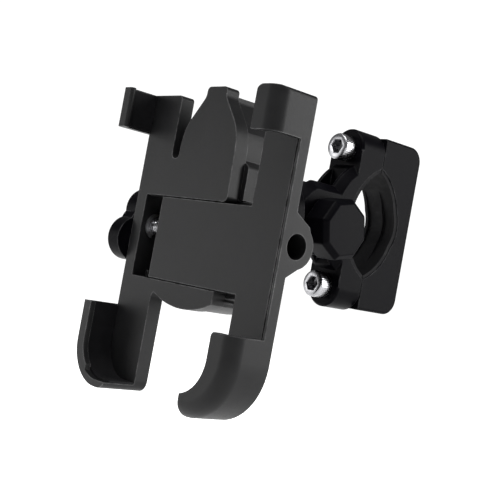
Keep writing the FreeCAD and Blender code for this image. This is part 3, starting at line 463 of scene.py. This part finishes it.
def rounded_copy(node, width, steps):
    """A copy of a CAD node with its sharp edges rounded over."""
    bm = bmesh.new()
    bm.from_mesh(FRAME["nodes"][node].data)
    bmesh.ops.remove_doubles(bm, verts=bm.verts, dist=WELD)
    bmesh.ops.dissolve_limit(bm, angle_limit=FLAT_ANGLE, verts=bm.verts, edges=bm.edges)
    edges = [e for e in bm.edges if len(e.link_faces) == 2 and e.calc_face_angle(0.0) > SHARP_ANGLE]
    bmesh.ops.bevel(bm, geom=edges, offset=width, offset_type="OFFSET", segments=steps,
                    profile=0.5, affect="EDGES", clamp_overlap=True)
    bmesh.ops.remove_doubles(bm, verts=bm.verts, dist=WELD_ROUNDED)
    shade(bm)
    mesh = bpy.data.meshes.new(node + "_rounded")
    bm.to_mesh(mesh)
    bm.free()
    return mesh


# ------------------------------------------------------------ turned pieces


def plain(radius):
    return lambda turn: radius


def hexagon(flats):
    """Outline of a hexagon socket, by its width across flats."""
    return lambda turn: flats / 2 / math.cos((turn + math.pi / 6) % (math.pi / 3) - math.pi / 6)


def knurled(radius, ribs, depth):
    """Outline of a knurled socket head."""
    return lambda turn: radius - depth * (0.5 - 0.5 * math.cos(ribs * turn)) ** 0.7


def thread(start, end, radius, pitch):
    """Rings of a right-hand screw thread that runs out at both ends."""
    depth = THREAD_DEPTH * pitch
    steps = max(2, round((end - start) / pitch * THREAD_STEPS))
    rings = []
    for i in range(steps + 1):
        at = start + (end - start) * i / steps
        run_out = min(1.0, (at - start) / pitch, (end - at) / pitch)

        def outline(turn, at=at, run_out=run_out):
            wave = abs(((at / pitch - turn / math.tau) % 1.0) * 2.0 - 1.0)
            return radius - depth * run_out * min(1.0, max(0.0, wave * 1.25 - 0.12))

        rings.append((at, outline))
    return rings


def turned(name, centre, axis, rings, around=48):
    """A mesh made of rings about an axis, closed at both ends."""
    axis = Vector(axis)
    side = Vector((0.0, 0.0, 1.0))
    across = axis.cross(side)
    bm = bmesh.new()
    loops = []
    for at, outline in rings:
        loop = []
        for i in range(around):
            turn = math.tau * i / around
            spoke = side * math.cos(turn) - across * math.sin(turn)
            loop.append(bm.verts.new(Vector(centre) + axis * at + spoke * outline(turn)))
        loops.append(loop)
    for low, high in zip(loops, loops[1:]):
        for i in range(around):
            j = (i + 1) % around
            bm.faces.new((low[i], low[j], high[j], high[i]))
    for loop, flip in ((loops[0], True), (loops[-1], False)):
        bm.faces.new(tuple(reversed(loop)) if flip else tuple(loop))
    bmesh.ops.recalc_face_normals(bm, faces=bm.faces)
    shade(bm, SMOOTH_TURNED)
    mesh = bpy.data.meshes.new(name)
    bm.to_mesh(mesh)
    bm.free()
    return mesh


def socket_screw(name, seat, axis, shank_end, pitch, ribs, socket_depth):
    """An M6 socket head screw: a knurled head behind its seat, a threaded shank in front."""
    top = -HEAD_HEIGHT
    rings = [
        (top + socket_depth + 0.8 * MM, plain(0.1 * MM)),
        (top + socket_depth, hexagon(SOCKET_FLATS)),
        (top + 0.25 * MM, hexagon(SOCKET_FLATS)),
        (top, hexagon(SOCKET_FLATS + 0.5 * MM)),
        (top, plain(HEAD_RADIUS - 0.7 * MM)),
        (top + 0.18 * MM, plain(HEAD_RADIUS - 0.35 * MM)),
        (top + 0.5 * MM, knurled(HEAD_RADIUS - 0.08 * MM, ribs, 0.1 * MM)),
        (top + 0.75 * MM, knurled(HEAD_RADIUS, ribs, KNURL_DEPTH)),
        (-1.4 * MM, knurled(HEAD_RADIUS, ribs, KNURL_DEPTH)),
        (-1.1 * MM, plain(HEAD_RADIUS - 0.12 * MM)),
        (-0.2 * MM, plain(HEAD_RADIUS - 0.12 * MM)),
        (0.0, plain(HEAD_RADIUS - 0.35 * MM)),
        (0.0, plain(SHANK_RADIUS)),
    ]
    rings += thread(1.0 * MM, shank_end - 0.5 * MM, SHANK_RADIUS, pitch)
    rings.append((shank_end, plain(SHANK_RADIUS - SHANK_TIP)))
    return turned(name, seat, axis, rings, ribs * 4)


# ---------------------------------------------------------------- operators


class MOUNT_OT_jaws(bpy.types.Operator):
    """Round the edges of both jaws and finish their pads"""

    bl_idname = "mount.jaws"
    bl_label = "Jaws"

    def execute(self, context):
        e = context.scene.mount_edges
        for node in ("left_jaw", "right_jaw"):
            piece(node + "_body", rounded_copy(node, e.jaw_edge, e.edge_steps), node)
        for node in ("upper_left_pad", "lower_left_pad", "upper_right_pad", "lower_right_pad"):
            coat(node)
        return {"FINISHED"}


class MOUNT_OT_housing(bpy.types.Operator):
    """Round and finish the housing, the swivel discs and the washers"""

    bl_idname = "mount.housing"
    bl_label = "Housing and swivel"

    def execute(self, context):
        e = context.scene.mount_edges
        for node in ("base_housing", "swivel_seat", "swivel_lug"):
            piece(node + "_body", rounded_copy(node, e.jaw_edge, e.edge_steps), node)
        for node in ("friction_washer", "spring_washer", "tilt_washers", "housing_screws",
                     "swivel_bolt"):
            coat(node)
        return {"FINISHED"}


class MOUNT_OT_clamp(bpy.types.Operator):
    """Round and finish the handlebar clamp and its lock nut"""

    bl_idname = "mount.clamp"
    bl_label = "Handlebar clamp"

    def execute(self, context):
        e = context.scene.mount_edges
        for node in ("clamp_front", "clamp_rear", "tilt_lock_nut"):
            piece(node + "_body", rounded_copy(node, e.clamp_edge, e.edge_steps), node)
        for node in ("front_liner", "rear_liner"):
            coat(node)
        for node, level in (("upper_clamp_screw", CLAMP_LEVEL), ("lower_clamp_screw", -CLAMP_LEVEL)):
            mesh = socket_screw(node + "_threaded", (0.0, CLAMP_SEAT, level), (0.0, 1.0, 0.0),
                                CLAMP_SCREW_END - CLAMP_SEAT, e.clamp_pitch, e.knurls,
                                CLAMP_SOCKET_DEPTH)
            piece(node + "_body", mesh, node)
        mesh = socket_screw("tilt_bolt_threaded", (TILT_SEAT, TILT_Y, AXIS_Z), (1.0, 0.0, 0.0),
                            TILT_END - TILT_SEAT, e.clamp_pitch, e.knurls, TILT_SOCKET_DEPTH)
        piece("tilt_bolt_body", mesh, "tilt_bolt")
        return {"FINISHED"}


class MOUNT_OT_drive(bpy.types.Operator):
    """Finish the knob and the clamping screw"""

    bl_idname = "mount.drive"
    bl_label = "Knob and clamping screw"

    def execute(self, context):
        e = context.scene.mount_edges
        piece("wing_knob_body", rounded_copy("wing_knob", e.jaw_edge, e.edge_steps), "wing_knob")
        piece("lead_screw_body", self.screw(e.lead_pitch), "lead_screw")
        for node in ("knob_pin", "retaining_clip", "thrust_washer", "thread_insert"):
            coat(node)
        return {"FINISHED"}


    def screw(self, pitch):
        """The clamping screw: plain in the wall, then a collar, then thread to its end."""
        core = plain(LEAD_RADIUS)
        rings = [(LEAD_START, plain(LEAD_RADIUS - 0.4 * MM)), (LEAD_START + 0.4 * MM, core),
                 (CLIP_GROOVE[0], core), (CLIP_GROOVE[0], plain(GROOVE_RADIUS)),
                 (CLIP_GROOVE[1], plain(GROOVE_RADIUS)), (CLIP_GROOVE[1], core),
                 (COLLAR[0], core), (COLLAR[0], plain(COLLAR_RADIUS)),
                 (COLLAR[1], plain(COLLAR_RADIUS)), (COLLAR[1], core)]
        rings += thread(COLLAR[1] + 0.3 * MM, LEAD_END - LEAD_TIP, LEAD_RADIUS, pitch)
        rings.append((LEAD_END, plain(LEAD_RADIUS - LEAD_TIP)))
        return turned("lead_screw_threaded", (0.0, LEAD_Y, LEAD_Z), (1.0, 0.0, 0.0), rings, 40)


class MOUNT_OT_studio(bpy.types.Operator):
    """Lay the floor, hang the lights and set up the camera"""

    bl_idname = "mount.studio"
    bl_label = "Studio"

    def execute(self, context):
        s = context.scene.mount_studio
        self.floor(context, s)
        self.lights(context, s)
        self.camera(context, s)
        return {"FINISHED"}

    def floor(self, context, s):
        bm = bmesh.new()
        bmesh.ops.create_circle(bm, cap_ends=True, segments=96, radius=FLOOR_RADIUS)
        mesh = bpy.data.meshes.new("floor")
        bm.to_mesh(mesh)
        bm.free()
        obj = bpy.data.objects.new("floor", mesh)
        obj.location.z = LOWEST - s.floor_drop
        context.scene.collection.objects.link(obj)
        f = Finish("floor_paint")
        drift = f.noise(0.6, 2.0, 0.5)
        base = tuple(s.floor_colour)
        f.set(Base_Color=f.mix(drift, base, tuple(c * 0.985 for c in base)), Roughness=0.7,
              Emission_Color=base, Emission_Strength=s.floor_glow)
        mesh.materials.append(f.material)

    def light(self, context, name, at, size, power):
        data = bpy.data.lights.new(name, "AREA")
        data.shape, data.size, data.size_y = "RECTANGLE", size[0], size[1]
        data.energy = power
        obj = bpy.data.objects.new(name, data)
        obj.location = at
        obj.rotation_mode = "QUATERNION"
        aim = Vector(AIM) - Vector(at)
        obj.rotation_quaternion = aim.to_track_quat("-Z", "Y")
        context.scene.collection.objects.link(obj)

    def lights(self, context, s):
        self.light(context, "key_light", KEY_PLACE, KEY_SIZE, s.key_power)
        self.light(context, "top_light", TOP_PLACE, TOP_SIZE, s.top_power)
        self.light(context, "fill_light", FILL_PLACE, FILL_SIZE, s.fill_power)
        world = bpy.data.worlds.new("studio_room")
        world.use_nodes = True
        world.node_tree.nodes.clear()
        graph = Graph(world.node_tree)
        room, wall = (
            graph.node("ShaderNodeBackground", None, {"Color": WHITE, "Strength": strength})[0]
            for strength in (s.world_light, s.wall_light))
        seen = graph.node("ShaderNodeLightPath")["Is Camera Ray"]
        pick = graph.node("ShaderNodeMixShader", None, {0: seen, 1: room, 2: wall})[0]
        graph.node("ShaderNodeOutputWorld", None, {"Surface": pick})
        context.scene.world = world
        context.scene.view_settings.view_transform = "Standard"

    def camera(self, context, s):
        data = bpy.data.cameras.new("studio_camera")
        data.sensor_width, data.lens = 36.0, s.lens
        data.clip_start, data.clip_end = 0.01, 50.0
        obj = bpy.data.objects.new("studio_camera", data)
        back = Vector((math.sin(s.azimuth) * math.cos(s.elevation),
                       -math.cos(s.azimuth) * math.cos(s.elevation), math.sin(s.elevation)))
        right = (-back).cross(Vector((0.0, 0.0, 1.0))).normalized()
        up = right.cross(-back)
        x = right * math.cos(s.roll) + up * math.sin(s.roll)
        y = up * math.cos(s.roll) - right * math.sin(s.roll)
        turn = Matrix((x, y, back)).transposed()
        obj.matrix_world = Matrix.Translation(Vector(s.stand)) @ turn.to_4x4()
        context.scene.collection.objects.link(obj)
        context.scene.camera = obj


class MOUNT_PT_panel(bpy.types.Panel):
    """The mount's settings and steps"""

    bl_label = "Phone Mount"
    bl_idname = "MOUNT_PT_panel"
    bl_space_type = "VIEW_3D"
    bl_region_type = "UI"
    bl_category = "Phone Mount"

    def draw(self, context):
        for title, group in (("Finish", context.scene.mount_finish),
                             ("Edges and threads", context.scene.mount_edges),
                             ("Studio", context.scene.mount_studio)):
            box = self.layout.box()
            box.label(text=title)
            for name in group.__annotations__:
                box.prop(group, name)
        for step in STEPS:
            self.layout.operator(step.bl_idname)


GROUPS = {"mount_finish": MountFinish, "mount_edges": MountEdges, "mount_studio": MountStudio}
STEPS = (MOUNT_OT_jaws, MOUNT_OT_housing, MOUNT_OT_clamp, MOUNT_OT_drive, MOUNT_OT_studio)
CLASSES = (*GROUPS.values(), *STEPS, MOUNT_PT_panel)


def register():
    for cls in CLASSES:
        bpy.utils.register_class(cls)
    for name, group in GROUPS.items():
        setattr(bpy.types.Scene, name, PointerProperty(type=group))


def unregister():
    for name in GROUPS:
        delattr(bpy.types.Scene, name)
    for cls in reversed(CLASSES):
        bpy.utils.unregister_class(cls)


def main():
    register()
    bpy.ops.mount.jaws()
    bpy.ops.mount.housing()
    bpy.ops.mount.clamp()
    bpy.ops.mount.drive()
    bpy.ops.mount.studio()


if __name__ == "__main__":
    main()
